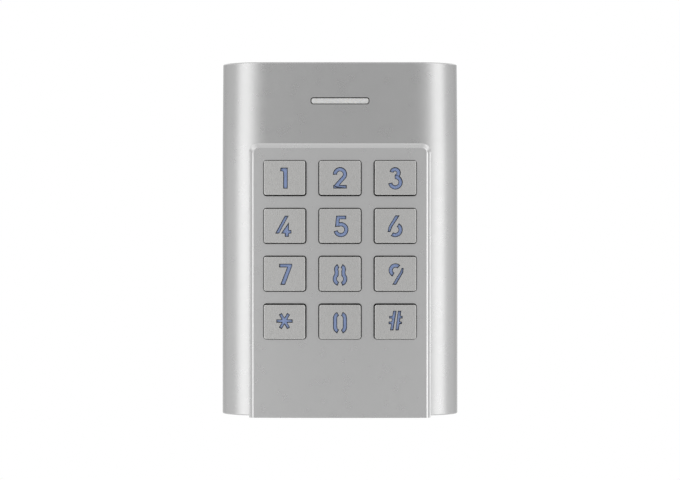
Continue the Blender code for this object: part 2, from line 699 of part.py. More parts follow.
def make_electronics():
    """The larger components: antenna in front of the board, the rest behind it."""
    coil = [around(0, 45.4, 50, 16.4, 5, 4), around(0, 45.4, 43, 9.4, 2, 2)]
    face_plate("antenna_coil", coil, BOARD_FRONT + 0.3, BOARD_FRONT + 2.8, "copper_wire")
    back = BOARD_BACK - 0.2
    face_plate("microcontroller", [around(-4, 28, 12, 12, 0.5, 1)], back - 1.6, back, "component")
    face_plate("lock_relay", [around(-22, 10, 15, 10, 0.6, 1)], back - 5.8, back, "component")
    rod("buzzer", 22, 24, 6.0, back - 5.8, back, 20, "component")
    cut(bpy.data.objects["buzzer"], rod("cutter_buzzer_port", 22, 24, 1.1, back - 7, back - 4.6, 8))
    header = face_plate("wire_header", [around(0, -9, 22, 6.4, 0.3, 1)], back - 5.6, back, "header_plastic")
    cut(header, face_plate("cutter_header", [around(0, -9, 20, 4.4, 0.2, 1)], back - 7, back - 1.2))
    rod("tamper_sensor", TAMPER_X, TAMPER_Z, 2.5, back - 2.4, back, 12, "component")


# ---------------------------------------------------------------- back of the unit
def make_rear_cover():
    edge = RECESS_HALF_WIDTH - COVER_GAP
    bottom, top = RECESS_BOTTOM + COVER_GAP, RECESS_TOP - COVER_GAP
    outline = rounded(-edge, edge, bottom, top, 1.6, 2)
    holes = [circle(x, z, 1.8, 10) for x, z in COVER_SCREWS]
    holes += [circle(0, GROMMET_Z, 6.4, 16), circle(TAMPER_X, TAMPER_Z, 2.9, 12)]
    face_plate("rear_cover", [outline, *holes], COVER_BACK, COVER_FRONT, "black_plastic")
    inner = rounded(-edge + 1.4, edge - 1.4, bottom + 1.4, top - 1.4, 1.0, 2)
    face_plate("rear_gasket", [outline, inner], COVER_FRONT + GAP, LEDGE_OUT - GAP, "black_rubber")
    rod("tamper_window", TAMPER_X, TAMPER_Z, 2.6, COVER_BACK, COVER_FRONT, 12, "clear_window")
    profile = [
        (4.0, 7.0), (7.6, 7.0), (7.6, 6.1), (6.1, 6.1), (6.1, 3.7), (8.0, 3.7), (8.0, 2.9), (4.0, 2.9),
    ]
    facing_turned("cable_grommet", profile, 16, 0, GROMMET_Z, "black_rubber", closed=True)


def make_wall_bracket():
    """Sheet-steel wall plate: two raised tabs hold the unit's top, a foot takes the security screw."""
    outline = rounded(-BRACKET_HALF_WIDTH, BRACKET_HALF_WIDTH, BRACKET_BOTTOM, BRACKET_TOP, 3.0, 3)
    window = rounded(-14, 14, -34, -8, 2.0, 2)
    slots = [
        around(0, side * SLOT_SPACING_Z / 2, SLOT_LENGTH, SLOT_WIDTH, SLOT_WIDTH / 2 - 0.01, 4)
        for side in (-1, 1)
    ]
    slots += [
        around(side * SLOT_SPACING_X / 2, 4, SLOT_WIDTH, SLOT_LENGTH, SLOT_WIDTH / 2 - 0.01, 4)
        for side in (-1, 1)
    ]
    bracket = face_plate("wall_bracket", [outline, window, *slots], 0, BRACKET_THICKNESS, "zinc_steel")
    middle = BRACKET_THICKNESS / 2
    raised = 1.8 + middle
    tab_path = [(middle, 50.0), (middle, 53.4), (raised, 55.2), (raised, TAB_TOP)]
    for side in (-1, 1):
        tab = side_plate(
            f"joiner_tab_{'left' if side < 0 else 'right'}",
            stroke(tab_path, BRACKET_THICKNESS - 0.02),
            side * TAB_X - TAB_WIDTH / 2,
            side * TAB_X + TAB_WIDTH / 2,
        )
        join(bracket, tab)
    foot_path = [(middle, -48.0), (middle, FOOT_Z), (FOOT_REACH, FOOT_Z)]
    foot = side_plate(
        "joiner_foot", stroke(foot_path, BRACKET_THICKNESS - 0.02), -FOOT_WIDTH / 2, FOOT_WIDTH / 2
    )
    join(bracket, foot)
    tapped = place(plate_mesh("tapped", [circle(0, -SECURITY_OUT, 1.6, 12)], -57, -54), "cutter_tapped")
    cut(bracket, tapped)


clear_scene()
PARTS = make_collection("keypad_access_reader")
CUTTERS = make_collection("cutters")
MATERIALS = {name: make_material(name) for name in FINISHES}

make_front_housing()
make_keypad_panel()
make_keys()
make_key_mat()
make_screws("panel_screw", PANEL_SCREWS, FLOOR_BACK - 0.2, 2.1, 1.4, 1.1, 4.2)
make_screws("board_screw", BOARD_SCREWS, BOARD_BACK - 0.2, 2.3, 1.5, 1.1, 5.6)
make_screws("cover_screw", COVER_SCREWS, COVER_BACK - 0.2, 2.6, 1.5, 1.15, 9.0)
make_security_screw()
make_lamp()
make_board()
make_electronics()
make_rear_cover()
make_wall_bracket()
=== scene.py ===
"""Looks of the wall-mounted keypad access reader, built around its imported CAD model.

Every outside piece is remade here with fine edges, and every CAD piece kept inside gets its own material.
+X is right, +Z is up and the wall is at y = 0. "Out" is the distance from the wall in millimetres.
"""
import math

import bmesh
import bpy
from mathutils import Matrix, Vector


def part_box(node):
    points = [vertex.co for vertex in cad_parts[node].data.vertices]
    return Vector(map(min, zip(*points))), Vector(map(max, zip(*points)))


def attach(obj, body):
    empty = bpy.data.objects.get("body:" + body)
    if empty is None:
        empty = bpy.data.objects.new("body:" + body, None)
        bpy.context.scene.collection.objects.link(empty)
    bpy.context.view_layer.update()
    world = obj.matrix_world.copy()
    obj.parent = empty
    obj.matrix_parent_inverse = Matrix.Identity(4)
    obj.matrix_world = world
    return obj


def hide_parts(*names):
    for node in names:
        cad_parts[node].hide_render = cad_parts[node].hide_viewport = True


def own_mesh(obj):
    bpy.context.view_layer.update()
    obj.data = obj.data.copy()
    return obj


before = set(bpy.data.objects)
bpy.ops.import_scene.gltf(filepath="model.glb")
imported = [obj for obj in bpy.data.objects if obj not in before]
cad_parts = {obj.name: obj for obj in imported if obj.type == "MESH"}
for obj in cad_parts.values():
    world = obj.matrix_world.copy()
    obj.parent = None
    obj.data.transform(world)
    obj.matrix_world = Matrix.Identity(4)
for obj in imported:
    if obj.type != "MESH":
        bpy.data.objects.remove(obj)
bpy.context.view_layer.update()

MM = 0.001
ROOT = "reader"
KEYS = ["1", "2", "3", "4", "5", "6", "7", "8", "9", "star", "0", "hash"]


def box_mm(node):
    """A CAD node's (left, right, bottom, top, back, front) in mm, with back and front as distances out."""
    low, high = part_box(node)
    return [v / MM for v in (low[0], high[0], low[2], high[2], -high[1], -low[1])]


def middle_mm(node):
    """A CAD node's middle as (x, z) in mm."""
    left, right, bottom, top, _, _ = box_mm(node)
    return (left + right) / 2, (bottom + top) / 2


# ---------------------------------------------------------------- sizes, in mm
_, HALF_WIDTH, BOTTOM, TOP, RIM_OUT, _ = box_mm("front_housing")
BODY_OUT = 23.5
SHOULDER_WIDTH, SHOULDER_DEPTH = HALF_WIDTH - 24.5, 5.0
LEAN_DEGREES, LEAN_START, LEAN_END = 3.5, 24.0, 41.0
END_FILLET = 0.5
WALL = 2.6
CAVITY_HALF_WIDTH, CAVITY_BOTTOM, CAVITY_TOP, CAVITY_BACK = 36.2, -50.0, 54.6, 6.5
CAVITY_SHOULDER = 14.4, 4.2
RECESS_HALF_WIDTH, RECESS_BOTTOM, RECESS_TOP, LEDGE_OUT = 38.4, -52.2, 56.8, 7.4

_, PANEL_HALF_WIDTH, PANEL_BOTTOM, PANEL_TOP, PANEL_BACK, PANEL_OUT = box_mm("keypad_panel")
LIP_HALF_WIDTH, LIP_TOP, LIP_CORNER = PANEL_HALF_WIDTH + 0.25, PANEL_TOP - 0.1, 3.1
LIP_OUT = PANEL_OUT - 0.84
LIP_OVERLAP = 0.4
PANEL_FOOT_ROUNDING = 0.2

_, _, _, _, KEY_BACK, KEY_OUT = box_mm("key_cap_5")
KEY_WIDTH, KEY_HEIGHT, KEY_CORNER = 13.9, 11.45, 0.75
KEY_FACE, KEY_WALL, KEY_RIM, KEY_FLANGE = 1.2, 1.4, 0.22, 1.15
WINDOW_GAP = 0.27
PAD_TOP = KEY_OUT - 0.45
PAD_SLOPE_WIDTH, PAD_SLOPE_DROP = 0.22, 0.35
MAT_THICKNESS, DOME_HOLE_RADIUS = 1.0, 5.0

LAMP_WIDTH, LAMP_HEIGHT, LAMP_CORNER, LAMP_GAP = 20.0, 2.4, 0.9, 0.25
LAMP_Z = middle_mm("status_lamp_lens")[1]

BRACKET_THICKNESS, BRACKET_HALF_WIDTH, BRACKET_BOTTOM, BRACKET_TOP = 1.5, 35.0, -51.0, 53.0
SLOT_WIDTH, SLOT_LENGTH, SLOT_CORNER = 3.9, 9.0, 1.94
SLOT_SPACING_Z, SLOT_SPACING_X, SIDE_SLOT_Z = 83.3, 60.3, 4.0
TAB_X, TAB_WIDTH, TAB_TOP = 15.0, 10.0, 58.2
FOOT_WIDTH, FOOT_Z, FOOT_REACH = 14.0, -55.5, 10.0
SECURITY_OUT = 6.0


# ---------------------------------------------------------------- meshes
def evaluated_mesh(obj):
    graph = bpy.context.evaluated_depsgraph_get()
    return bpy.data.meshes.new_from_object(obj.evaluated_get(graph))


def temporary(mesh, name="cutter"):
    """A scene object that shows this mesh or curve."""
    obj = bpy.data.objects.new(name, mesh)
    bpy.context.scene.collection.objects.link(obj)
    return obj


def apply_boolean(mesh, other, operation):
    """The mesh after one exact Boolean with another mesh."""
    body, tool = temporary(mesh), temporary(other)
    modifier = body.modifiers.new("boolean", "BOOLEAN")
    modifier.operation, modifier.object, modifier.solver = operation, tool, "EXACT"
    bpy.context.view_layer.update()
    result = evaluated_mesh(body)
    bpy.data.objects.remove(body)
    bpy.data.objects.remove(tool)
    return result


def cut(mesh, *others):
    """The mesh less the others."""
    for other in others:
        mesh = apply_boolean(mesh, other, "DIFFERENCE")
    return mesh


def join(mesh, *others):
    """The mesh and the others as one solid."""
    for other in others:
        mesh = apply_boolean(mesh, other, "UNION")
    return mesh


def merged(meshes):
    """Several separate solids as one mesh."""
    bm = bmesh.new()
    for mesh in meshes:
        bm.from_mesh(mesh)
    result = bpy.data.meshes.new("merged")
    bm.to_mesh(result)
    bm.free()
    return result


def moved(mesh, x=0.0, out=0.0, z=0.0):
    """A copy of the mesh, moved by these distances in mm."""
    copy = mesh.copy()
    copy.transform(Matrix.Translation((x * MM, -out * MM, z * MM)))
    return copy


def edit(mesh, change):
    """Runs change(bm) on the mesh in place."""
    bm = bmesh.new()
    bm.from_mesh(mesh)
    change(bm)
    bmesh.ops.recalc_face_normals(bm, faces=bm.faces)
    bm.to_mesh(mesh)
    bm.free()
    return mesh


def mesh_of(bm, name):
    """Ends work on bm and returns it as a mesh whose faces point outwards."""
    bmesh.ops.recalc_face_normals(bm, faces=bm.faces)
    mesh = bpy.data.meshes.new(name)
    bm.to_mesh(mesh)
    bm.free()
    return mesh


def lofted(sections, name):
    """A solid through outlines of equally many points: (outline, distance out) from back to front."""
    bm = bmesh.new()
    rings = [[bm.verts.new((x * MM, -out * MM, z * MM)) for x, z in outline] for outline, out in sections]
    for lower, upper in zip(rings, rings[1:]):
        for i in range(len(lower)):
            j = (i + 1) % len(lower)
            bm.faces.new((lower[i], lower[j], upper[j], upper[i]))
    bm.faces.new(rings[0])
    bm.faces.new(rings[-1])
    return mesh_of(bm, name)


def clean(bm):
    """Removes doubled points and the edges inside flat faces."""
    bmesh.ops.remove_doubles(bm, verts=bm.verts, dist=0.002 * MM)
    bmesh.ops.dissolve_limit(bm, angle_limit=math.radians(0.3), verts=bm.verts, edges=bm.edges)


def softened(mesh, width, segments=2, angle=40):
    """The mesh with its sharp edges rounded, so that they catch the light as real ones do."""
    obj = temporary(mesh)
    bevel = obj.modifiers.new("soft_edges", "BEVEL")
    bevel.width, bevel.segments = width * MM, segments
    bevel.limit_method, bevel.angle_limit = "ANGLE", math.radians(angle)
    bevel.miter_outer = "MITER_ARC"
    bpy.context.view_layer.update()
    result = evaluated_mesh(obj)
    bpy.data.objects.remove(obj)
    return result


def piece(name, mesh, finish, body, replaced, sharp=32):
    """A visible piece that rides on a CAD body in place of a CAD node."""
    mesh.name = name
    obj = bpy.data.objects.new(name, mesh)
    bpy.context.scene.collection.objects.link(obj)
    mesh.materials.clear()
    mesh.materials.append(finish)
    mesh.shade_smooth()
    mesh.set_sharp_from_angle(angle=math.radians(sharp))
    normals = obj.modifiers.new("even_normals", "WEIGHTED_NORMAL")
    normals.keep_sharp = True
    normals.weight = 80
    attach(obj, body)
    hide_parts(replaced)
    return obj


# ---------------------------------------------------------------- outlines, as lists of (x, z) in mm
def arc(centre_x, centre_z, radius, start, end, steps):
    """Points on an arc from one angle to another, in degrees anticlockwise from +X."""
    angles = [math.radians(start + (end - start) * i / steps) for i in range(steps + 1)]
    return [(centre_x + radius * math.cos(a), centre_z + radius * math.sin(a)) for a in angles]


def circle(x, z, radius, sides=48):
    """A circle's points, anticlockwise from +X."""
    return arc(x, z, radius, 0, 360 - 360 / sides, sides - 1)


def rounded(left, right, bottom, top, radius, steps=8):
    """A rectangle with rounded corners, given by its sides."""
    corners = [(right, top, 0), (left, top, 90), (left, bottom, 180), (right, bottom, 270)]
    points = []
    for x, z, angle in corners:
        inner_x = x - math.copysign(radius, x - (left + right) / 2)
        inner_z = z - math.copysign(radius, z - (bottom + top) / 2)
        points += arc(inner_x, inner_z, radius, angle, angle + 90, steps)
    return points


def around(x, z, width, height, radius, steps=8):
    """A rectangle with rounded corners, given by its middle."""
    return rounded(x - width / 2, x + width / 2, z - height / 2, z + height / 2, radius, steps)


def stroke(path, width):
    """The outline of a pen line of this width along the path, with square ends."""
    left, right = [], []
    for i, point in enumerate(path):
        here = Vector(point)
        before, after = Vector(path[max(i - 1, 0)]), Vector(path[min(i + 1, len(path) - 1)])
        into = (here - before) if i else (after - here)
        out = (after - here) if i < len(path) - 1 else into
        tangent = (into.normalized() + out.normalized()).normalized()
        reach = width / 2 / max(tangent.dot(into.normalized()), 0.4)
        side = Vector((-tangent.y, tangent.x)) * reach
        left.append(tuple(here + side))
        right.append(tuple(here - side))
    return left + right[::-1]


FACING_OUT = Matrix.Rotation(math.radians(90), 4, "X")


def flat_plate(loops, start, end):
    """A plate between two heights on Z, from its outer outline and then its holes."""
    curve = bpy.data.curves.new("plate", "CURVE")
    curve.dimensions = "2D"
    curve.fill_mode = "BOTH"
    curve.extrude = abs(end - start) / 2 * MM
    for loop in loops:
        spline = curve.splines.new("POLY")
        spline.points.add(len(loop) - 1)
        spline.use_cyclic_u = True
        for point, (x, z) in zip(spline.points, loop):
            point.co = (x * MM, z * MM, 0.0, 1.0)
    obj = temporary(curve)
    bpy.context.view_layer.update()
    mesh = evaluated_mesh(obj)
    bpy.data.objects.remove(obj)
    mesh.transform(Matrix.Translation((0, 0, (start + end) / 2 * MM)))
    return edit(mesh, clean)


def face_plate(loops, back, front):
    """A plate that lies flat against the wall, from back to front in mm out."""
    mesh = flat_plate(loops, back, front)
    mesh.transform(FACING_OUT)
    return mesh


def side_plate(outline, left, right):
    """A plate with an outline in (out, z), running from left to right."""
    mesh = flat_plate([outline], left, right)
    mesh.transform(Matrix(((0, 0, 1, 0), (-1, 0, 0, 0), (0, 1, 0, 0), (0, 0, 0, 1))))
    mesh.flip_normals()
    return edit(mesh, lambda bm: None)


def turned(profile, sides=64, closed=False):
    """A shape turned about local Z from (radius, height), going down its outer side."""
    bm = bmesh.new()
    rows = []
    for radius, height in profile:
        count = 1 if radius < 1e-6 else sides
        angles = [2 * math.pi * i / count for i in range(count)]
        places = [(radius * MM * math.cos(a), radius * MM * math.sin(a), height * MM) for a in angles]
        rows.append([bm.verts.new(place) for place in places])
    pairs = list(zip(rows, rows[1:])) + ([(rows[-1], rows[0])] if closed else [])
    for upper, lower in pairs:
        for i in range(sides):
            j = (i + 1) % sides
            steps = [(upper, i), (upper, j), (lower, j), (lower, i)]
            corners = list(dict.fromkeys(row[k % len(row)] for row, k in steps))
            if len(corners) > 2:
                bm.faces.new(corners)
    return mesh_of(bm, "turned")


def facing_turned(profile, x, z, sides=64, closed=False):
    """A shape turned about an axis that runs straight out of the wall, from (radius, out)."""
    mesh = turned(profile, sides, closed)
    mesh.transform(FACING_OUT)
    return moved(mesh, x=x, z=z)


# ---------------------------------------------------------------- materials
NOISE_RANGE = 0.3, 0.7


class Nodes:
    """A procedural material under construction: a Principled shader and the textures that feed it."""

    def __init__(self, name, roughness, metallic, **constants):
        self.material = bpy.data.materials.new(name)
        self.material.use_nodes = True
        self.tree = self.material.node_tree
        self.shader = self.tree.nodes["Principled BSDF"]
        self.shader.inputs["Roughness"].default_value = roughness
        self.shader.inputs["Metallic"].default_value = metallic
        for socket, value in constants.items():
            self.shader.inputs[socket.replace("_", " ")].default_value = value
        self.place = self.new("ShaderNodeTexCoord").outputs["Object"]
        self.height = None

    def new(self, kind, **settings):
        node = self.tree.nodes.new(kind)
        for key, value in settings.items():
            if key in node.inputs:
                node.inputs[key].default_value = value
            else:
                setattr(node, key, value)
        return node

    def link(self, out, into):
        self.tree.links.new(out, into)

    def scaled(self, scale):
        """The place in the object, stretched by these factors."""
        mapping = self.new("ShaderNodeMapping")
        mapping.inputs["Scale"].default_value = scale
        self.link(self.place, mapping.inputs["Vector"])
        return mapping.outputs["Vector"]

    def noise(self, scale, detail=2.0, stretch=(1, 1, 1)):
        """Noise with this many features to the metre."""
        node = self.new("ShaderNodeTexNoise", Scale=scale, Detail=detail, Roughness=0.55)
        self.link(self.scaled(stretch), node.inputs["Vector"])
        return node.outputs["Fac"]

    def ramp(self, value, low, high):
        """Noise as a colour between these two."""
        node = self.new("ShaderNodeValToRGB")
        for element, position, colour in zip(node.color_ramp.elements, NOISE_RANGE, (low, high)):
            element.position = position
            element.color = (*colour, 1.0)
        self.link(value, node.inputs["Fac"])
        return node.outputs["Color"]

    def spread(self, value, low, high):
        """Noise as a number between these two."""
        return self.mapped(value, *NOISE_RANGE, low, high)

    def mix(self, factor, first, second, blend="MIX"):
        """Two colours, each a socket or a tuple, mixed by a socket or a number."""
        node = self.new("ShaderNodeMix", data_type="RGBA", blend_type=blend)
        for socket, value in ((node.inputs[0], factor), (node.inputs[6], first), (node.inputs[7], second)):
            if isinstance(value, bpy.types.NodeSocket):
                self.link(value, socket)
            elif isinstance(value, (int, float)):
                socket.default_value = value
            else:
                socket.default_value = (*value, 1.0)
        return node.outputs[2]

    def mapped(self, value, low, high, at_low=0.0, at_high=1.0):
        """The value on a straight line from at_low to at_high, held beyond them."""
        node = self.new("ShaderNodeMapRange")
        node.inputs["From Min"].default_value = low
        node.inputs["From Max"].default_value = high
        node.inputs["To Min"].default_value = at_low
        node.inputs["To Max"].default_value = at_high
        self.link(value, node.inputs["Value"])
        return node.outputs["Result"]

    def dot(self, first, second):
        node = self.new("ShaderNodeVectorMath", operation="DOT_PRODUCT")
        self.link(first, node.inputs[0])
        if isinstance(second, tuple):
            node.inputs[1].default_value = second
        else:
            self.link(second, node.inputs[1])
        return node.outputs["Value"]

    def edges(self, width_mm=0.15):
        """1 on outer and inner edges, 0 on flat and gently curved faces."""
        round_normal = self.new("ShaderNodeBevel", Radius=width_mm * MM, samples=4)
        flat_normal = self.new("ShaderNodeNewGeometry").outputs["True Normal"]
        return self.mapped(self.dot(round_normal.outputs["Normal"], flat_normal), 0.98, 0.80)

    def open_air(self, low, high, reach_mm=1.2):
        """0 deep in a narrow gap and 1 on open surfaces."""
        node = self.new("ShaderNodeAmbientOcclusion", Distance=reach_mm * MM, samples=8)
        return self.mapped(node.outputs["AO"], low, high)

    def edge_highlight_gap_shade(self, body, colour, highlight_gain=1.12):
        """The body colour with a painted highlight on its edges, and painted shade deep in the gaps between
        pieces.
        """
        # painted highlight on the edges, then painted shade where the gaps are narrow
        highlighted = self.mix(self.edges(), body, shade(colour, highlight_gain))
        return self.mix(self.open_air(0.15, 0.45), shade(colour, 0.03), highlighted)

    def colour(self, value):
        self.link(value, self.shader.inputs["Base Color"])

    def rough(self, value):
        self.link(value, self.shader.inputs["Roughness"])

    def bump(self, value, depth_mm):
        """Adds a bump whose full height is this many millimetres."""
        node = self.new("ShaderNodeBump", Strength=1.0, Distance=depth_mm * MM)
        self.link(value, node.inputs["Height"])
        if self.height is not None:
            self.link(self.height, node.inputs["Normal"])
        self.height = node.outputs["Normal"]
        self.link(self.height, self.shader.inputs["Normal"])


def shade(colour, factor):
    """The colour made lighter or darker."""
    return tuple(min(1.0, channel * factor) for channel in colour)


def pearl_paint(name, colour, roughness):
    """Satin metallic paint on a casting: fine flake and faint mottling, with a painted highlight on its edges
    and painted shade in narrow gaps.
    """
    m = Nodes(name, roughness, 1.0)
    tone = m.ramp(m.noise(90, 3), shade(colour, 0.996), shade(colour, 1.004))
    fleck = m.ramp(m.noise(7000, 1), (0.97, 0.97, 0.97), (1, 1, 1))
    # painted highlight on the edges and painted shade in the gaps
    m.colour(m.edge_highlight_gap_shade(m.mix(1.0, tone, fleck, "MULTIPLY"), colour))
    m.rough(m.spread(m.noise(240, 3), roughness - 0.01, roughness + 0.01))
    m.bump(m.noise(5200, 2), 0.0004)
    m.bump(m.noise(420, 2), 0.0004)
    return m.material


def brushed_metal(name, colour, roughness, stretch, grain, tone_range=0.04, tint=None, painted_flank_shade=False):
    """Metal with a fine grain, stretch being small along it. Its edges get a painted highlight and its narrow
    gaps painted shade; the flank option paints the shade of the gap on faces that look aside.
    """
    m = Nodes(name, roughness, 1.0)
    lines = m.noise(4200, 3, stretch)
    tone = m.ramp(lines, shade(colour, 1 - tone_range), shade(colour, 1 + tone_range))
    cloud = m.ramp(m.noise(130, 3), shade(colour, 0.98), tint or shade(colour, 1.02))
    # painted highlight on the edges, stronger on the key rims, and painted shade in the gaps
    body = m.edge_highlight_gap_shade(m.mix(0.5, tone, cloud), colour, 1.5 if painted_flank_shade else 1.12)
    # painted shade on the flanks that look aside, where the gap's shadow falls
    if painted_flank_shade:
        forward = m.dot(m.new("ShaderNodeTexCoord").outputs["Normal"], (0.0, -1.0, 0.0))
        body = m.mix(m.mapped(forward, 0.10, 0.40), shade(colour, 0.4), body)
    m.colour(body)
    m.rough(m.spread(lines, roughness - 0.03, roughness + 0.04))
    m.bump(lines, grain)
    return m.material


def moulded(name, colour, roughness, texture_scale=1800, depth=0.006, variation=0.06, **constants):
    """Moulded plastic or rubber with an eroded surface."""
    m = Nodes(name, roughness, 0.0, **constants)
    m.colour(m.ramp(m.noise(220, 3), shade(colour, 1 - variation), shade(colour, 1 + variation)))
    m.rough(m.spread(m.noise(500, 2), roughness - 0.05, roughness + 0.05))
    m.bump(m.noise(texture_scale, 3), depth)
    return m.material


def board_laminate():
    """Green solder mask with a raised, lighter pattern of copper tracks under it."""
    m = Nodes("circuit_board_laminate", 0.4, 0.0, Coat_Weight=0.3)
    tracks = m.new("ShaderNodeTexBrick", Scale=160.0)
    tracks.inputs["Mortar Size"].default_value = 0.03
    onto_face = m.new("ShaderNodeMapping")
    onto_face.inputs["Rotation"].default_value = (math.radians(90), 0, 0)
    m.link(m.place, onto_face.inputs["Vector"])
    m.link(onto_face.outputs["Vector"], tracks.inputs["Vector"])
    mask = m.ramp(m.noise(200, 2), (0.012, 0.10, 0.045), (0.018, 0.15, 0.065))
    m.colour(m.mix(tracks.outputs["Fac"], mask, (0.05, 0.26, 0.12)))
    m.bump(tracks.outputs["Fac"], 0.03)
    return m.material


def wound_copper():
    """Many fine turns of enamelled wire."""
    m = Nodes("wound_copper", 0.32, 0.9)
    wave = m.new("ShaderNodeTexWave", Scale=900.0, Distortion=0.6, Detail=1.0)
    wave.bands_direction = "Y"
    m.link(m.place, wave.inputs["Vector"])
    m.colour(m.ramp(wave.outputs["Fac"], (0.28, 0.10, 0.04), (0.72, 0.34, 0.15)))
    m.bump(wave.outputs["Fac"], 0.05)
    return m.material


def frosted_plastic(name, colour, border, roughness):
    """Tinted translucent plastic, with painted shade where it meets the wall of its recess."""
    m = Nodes(name, roughness, 0.0, Subsurface_Weight=0.1)
    m.shader.inputs["Subsurface Radius"].default_value = (0.0004, 0.0005, 0.0008)
    tone = m.ramp(m.noise(900, 2), shade(colour, 0.94), shade(colour, 1.06))
    # painted shade near the walls of the recess, from ambient occlusion
    m.colour(m.mix(m.open_air(0.42, 0.86, 0.8), border, tone))
    m.rough(m.spread(m.noise(700, 2), roughness - 0.05, roughness + 0.05))
    m.bump(m.noise(2600, 2), 0.003)
    return m.material


SILVER = pearl_paint("silver_pearl_paint", (0.316, 0.316, 0.316), 0.28)
PANEL = pearl_paint("panel_pearl_paint", (0.363, 0.363, 0.363), 0.28)
KEY_METAL = brushed_metal(
    "satin_key_metal", (0.362, 0.360, 0.355), 0.28, (1, 1, 0.12), 0.0004, tone_range=0.015, painted_flank_shade=True
)
BLUE = frosted_plastic("blue_light_guide", (0.10, 0.137, 0.245), (0.02, 0.028, 0.05), 0.40)
LAMP = frosted_plastic("frosted_lamp_lens", (0.325, 0.325, 0.322), (0.10, 0.10, 0.10), 0.35)
SILICONE = moulded("grey_silicone", (0.55, 0.60, 0.64), 0.55, Subsurface_Weight=0.1)
BOARD = board_laminate()
CHIP = moulded("moulded_epoxy", (0.028, 0.028, 0.032), 0.45, 2600, 0.008)
NYLON = moulded("off_white_nylon", (0.78, 0.75, 0.66), 0.42, 900, 0.004)
LED = moulded("pale_led_resin", (0.84, 0.82, 0.62), 0.25, 700, 0.002, Coat_Weight=0.4)
COPPER = wound_copper()
BLACK = moulded("black_eroded_plastic", (0.040, 0.040, 0.044), 0.52, 2400, 0.015)
RUBBER = moulded("matt_black_rubber", (0.018, 0.018, 0.019), 0.72, 1500, 0.010)
WINDOW = moulded("clear_polycarbonate", (0.72, 0.78, 0.80), 0.08, 600, 0.001, 0.02, Coat_Weight=0.5)
ZINC = brushed_metal(
    "zinc_plated_steel", (0.50, 0.51, 0.53), 0.34, (0.10, 1, 1), 0.003, tint=(0.55, 0.55, 0.50)
)
STEEL = brushed_metal("plain_screw_steel", (0.36, 0.36, 0.38), 0.30, (1, 0.25, 1), 0.002)


# ---------------------------------------------------------------- the housing
def lean(z):
    """How far back the front surface lies at this height, in mm: the upper third leans back."""
    slope = math.tan(math.radians(LEAN_DEGREES))
    if z <= LEAN_START:
        return 0.0
    if z >= LEAN_END:
        return slope * (z - (LEAN_START + LEAN_END) / 2)
    return slope * (z - LEAN_START) ** 2 / (2 * (LEAN_END - LEAN_START))


def shouldered_block(half_width, front, width, depth, rear, bottom, top, steps, fillet=0.0, levels=14):
    """A block with elliptical shoulders whose front surface leans back above the keypad."""
    quarter = [math.radians(90 * i / steps) for i in range(steps + 1)]
    right = [(half_width - width + width * math.cos(a), front - depth + depth * math.sin(a)) for a in quarter]
    outline = [(half_width, rear), *right, *[(-x, out) for x, out in reversed(right)], (-half_width, rear)]
    mesh = flat_plate([outline], -top, -bottom)
    mesh.transform(Matrix.Rotation(math.pi, 4, "X"))

    def shape(bm):
        if fillet:
            level = [edge for edge in bm.edges if abs(edge.verts[0].co.z - edge.verts[1].co.z) < 1e-6]
            ends = [edge for edge in level if max(-v.co.y for v in edge.verts) > (rear + 1) * MM]
            bmesh.ops.bevel(bm, geom=ends, offset=fillet * MM, segments=5, profile=0.5, affect="EDGES")
        for i in range(levels + 1):
            level = (0, 0, (LEAN_START + (LEAN_END - LEAN_START) * i / levels) * MM)
            everything = [*bm.verts, *bm.edges, *bm.faces]
            bmesh.ops.bisect_plane(bm, geom=everything, plane_co=level, plane_no=(0, 0, 1), dist=1e-7)
        for vertex in bm.verts:
            if -vertex.co.y > (front - depth - 2.0) * MM:
                vertex.co.y += lean(vertex.co.z / MM) * MM

    return edit(mesh, shape)


def make_housing():
    """The die-cast shell: hollow, with a floor behind the panel and a recess for cover and bracket."""
    outer = (HALF_WIDTH, BODY_OUT, SHOULDER_WIDTH, SHOULDER_DEPTH, RIM_OUT, BOTTOM, TOP)
    shell = shouldered_block(*outer, 36, fillet=END_FILLET)
    inner = (CAVITY_HALF_WIDTH, BODY_OUT - WALL, *CAVITY_SHOULDER, CAVITY_BACK, CAVITY_BOTTOM, CAVITY_TOP)
    cavity = shouldered_block(*inner, 10, levels=4)
    floor = face_plate([rounded(-32.5, 32.5, -57.5, 34.5, 1.0)], 19.2, 21.6)
    shell = join(cut(shell, cavity), floor)

    recess_sides = (-RECESS_HALF_WIDTH, RECESS_HALF_WIDTH, RECESS_BOTTOM, RECESS_TOP)
    recess = face_plate([rounded(*recess_sides, 2.0)], -1.0, LEDGE_OUT)
    notch = face_plate([around(0, 57.0, 12.0, 3.6, 0.3)], 1.6, 3.9)
    notches = [moved(notch, x=-TAB_X), moved(notch, x=TAB_X)]
    foot = face_plate([rounded(-8.5, 8.5, -56.6, -51.5, 0.3)], -1.0, 11.0)
    pocket_half = LIP_HALF_WIDTH - LIP_OVERLAP
    pocket_outline = rounded(-pocket_half, pocket_half, -80, LIP_TOP - LIP_OVERLAP, LIP_CORNER, 16)
    pocket = face_plate([pocket_outline], PANEL_BACK - 0.3, BODY_OUT + 4)
    opening = face_plate([rounded(-27.2, 27.2, -35.4, 28.8, 1.5)], 15.0, 23.0)
    lamp = face_plate([around(0, LAMP_Z, LAMP_WIDTH, LAMP_HEIGHT, LAMP_CORNER, 10)], 15.0, 26.0)
    hole = flat_plate([circle(0, -SECURITY_OUT, 1.7)], -62, -55)
    counterbore = flat_plate([circle(0, -SECURITY_OUT, 3.1)], -62, -57.8)
    shell = cut(shell, recess, *notches, foot, pocket, opening, lamp, hole, counterbore)
    piece("housing_shell", shell, SILVER, ROOT, "front_housing")


